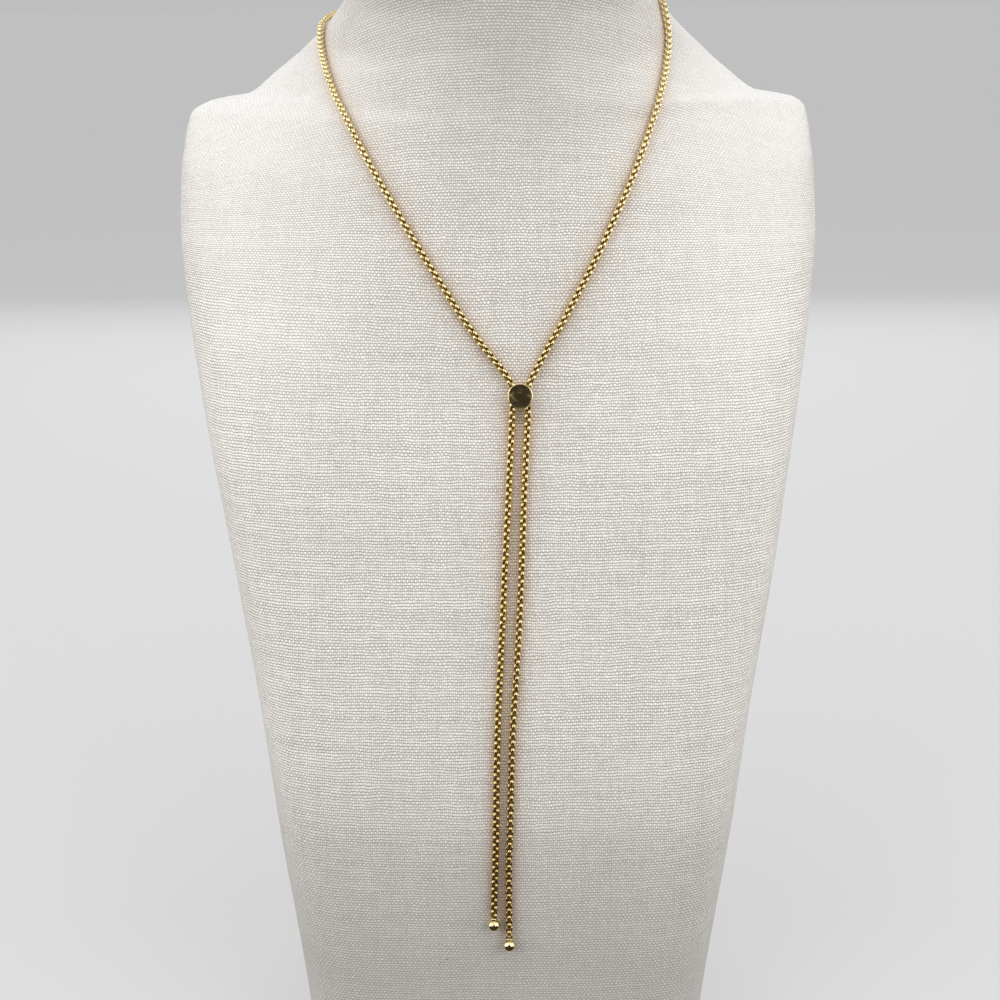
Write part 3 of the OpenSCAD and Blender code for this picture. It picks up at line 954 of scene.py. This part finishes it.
def hole_cutter(side, at, lean, material):
    """A pin where one strand passes through the slider, on the side -1 or 1 of its middle."""
    r, reach = HOLE_D / 2, HOLE_REACH
    verts, faces = revolved([(0, -reach), (r, -reach), (r, reach), (0, reach)], HOLE_AROUND)
    up = np.array([0, math.sin(lean), math.cos(lean)])
    mesh = bpy.data.meshes.new("hole")
    places = turned(verts, up, at + np.array([side * STRAND_GAP / 2, 0, 0]))
    mesh.from_pydata((places * MM).tolist(), [], faces)
    mesh.materials.append(material)
    hole = bpy.data.objects.new("hole", mesh)
    bpy.context.scene.collection.objects.link(hole)
    return hole


def slider(material):
    """The round slider: a short drum with rounded rims and two parallel holes."""
    verts, faces = revolved(slider_profile(), SLIDER_AROUND)
    at, lean = slider_place()
    face = np.array([0, -math.cos(lean), math.sin(lean)])
    obj = make_piece("slider_drum", turned(verts, face, at), faces, material, "slider_disc")
    holes = [hole_cutter(side, at, lean, material) for side in (-1, 1)]
    for hole in holes:
        cut = obj.modifiers.new("hole", "BOOLEAN")
        cut.operation = "DIFFERENCE"
        cut.solver = "EXACT"
        cut.object = hole
    bpy.context.view_layer.update()
    depsgraph = bpy.context.evaluated_depsgraph_get()
    made = bpy.data.meshes.new_from_object(obj.evaluated_get(depsgraph))
    obj.modifiers.clear()
    obj.data = made
    for hole in holes:
        bpy.data.objects.remove(hole)
    # The cuts leave edges far too short to see
    form = bmesh.new()
    form.from_mesh(made)
    bmesh.ops.remove_doubles(form, verts=form.verts, dist=WELD * MM)
    bmesh.ops.dissolve_degenerate(form, edges=form.edges, dist=WELD * MM)
    form.to_mesh(made)
    form.free()
    made.polygons.foreach_set("use_smooth", [True] * len(made.polygons))
    made.set_sharp_from_angle(angle=math.radians(SLIDER_SHARP))


def ball_end(name, node, ball, rows, material):
    """A polished ball with the small collar that joins it to the chain's last link."""
    at, _ = lift(front_point, *ball, BALL_D / 2 + GAP)
    up = unit(lift(front_point, *rows[-1], CHAIN_LIFT)[0] - at)
    r, neck, top = BALL_D / 2, COLLAR_D / 2, BALL_D / 2 + COLLAR_H
    inner, brim = neck - COLLAR_ROUND, top - COLLAR_ROUND
    profile = arc(r, -90, math.degrees(math.acos(neck / r)), (0, 0), BALL_STEPS)
    profile[0] = (0, -r)
    profile += [(neck, h) for h in np.linspace(profile[-1][1], brim, 4)[1:]]
    profile += arc(COLLAR_ROUND, 0, 90, (inner, brim), COLLAR_STEPS)[1:]
    profile += [(neck * COLLAR_RING, top), (0, top)]
    verts, faces = revolved(profile, BALL_AROUND)
    obj = make_piece(name, turned(verts, up, at), faces, material, node)
    obj.data.set_sharp_from_angle(angle=math.radians(BALL_SHARP))


# The stage

def floor(material):
    """A wide pale floor, which neither shows in the polished metal nor throws light up at the cloth."""
    mesh = bpy.data.meshes.new("floor")
    s = FLOOR_HALF
    mesh.from_pydata([(-s, -s, 0), (s, -s, 0), (s, s, 0), (-s, s, 0)], [], [(0, 1, 2, 3)])
    mesh.materials.append(material)
    obj = bpy.data.objects.new("floor", mesh)
    bpy.context.scene.collection.objects.link(obj)
    obj.visible_glossy = False
    obj.visible_diffuse = False


def lights():
    for name, place, width, depth, power in LAMPS:
        light = bpy.data.lights.new(name, "AREA")
        light.shape = "RECTANGLE"
        light.size, light.size_y = width, depth
        light.energy = power
        obj = bpy.data.objects.new(name, light)
        bpy.context.scene.collection.objects.link(obj)
        obj.location = place
        obj.rotation_euler = (Vector(LAMPS_AIM) - Vector(place)).to_track_quat("-Z", "Y").to_euler()


def world():
    """A soft even sky over a dim ground. What the metal mirrors is dark in front and lighter overhead."""
    made = bpy.data.worlds.new("studio")
    made.use_nodes = True
    m = Maths(made.node_tree)
    path = m.nodes.new("ShaderNodeLightPath").outputs
    up = m.parts(m.place("Generated"))[2]
    room = m.mix(m.span(up, *ROOM_RISE), ROOM_DARK, ROOM_LIGHT)
    ground = tuple(GROUND * tint for tint in GROUND_TINT)
    sky = m.mix(m.span(up, *HORIZON), ground, tuple(SKY * tint for tint in SKY_TINT))
    seen = m.mix(path["Is Glossy Ray"], sky, room)
    # The camera sees the floor's own tone beyond its edge
    far = tuple(lit * SKY + glow for lit, glow in zip(FLOOR_LIT, FLOOR_GLOW))
    m.put(m.nodes["Background"].inputs[0], m.mix(path["Is Camera Ray"], seen, far))
    bpy.context.scene.world = made


def camera():
    cam = bpy.data.cameras.new("camera")
    cam.sensor_fit = "HORIZONTAL"
    cam.sensor_width = SENSOR_WIDTH
    cam.lens = FOCAL_PX / FRAME_PX * SENSOR_WIDTH
    cam.clip_start = CLIP_START
    obj = bpy.data.objects.new("camera", cam)
    bpy.context.scene.collection.objects.link(obj)
    tilt = Matrix.Rotation(math.radians(90 - CAMERA_DOWN), 4, "X")
    roll = Matrix.Rotation(math.radians(-CAMERA_ROLL), 4, "Z")
    obj.matrix_world = Matrix.Translation(Vector(CAMERA_AT) * MM) @ tilt @ roll
    bpy.context.scene.camera = obj


bpy.context.scene.view_settings.view_transform = "Standard"
camera()
world()
lights()
floor(floor_material())
plated = gold("gold_chain", **CHAIN_PLATE)
polished = gold("gold_polished", **POLISHED_PLATE)
neck_bust(linen())
fibres(fibre_material())
chain(plated)
slider(polished)
ball_end("ball_left_end", "ball_left", LEFT_BALL, LEFT_TAIL, polished)
ball_end("ball_right_end", "ball_right", RIGHT_BALL, RIGHT_TAIL, polished)
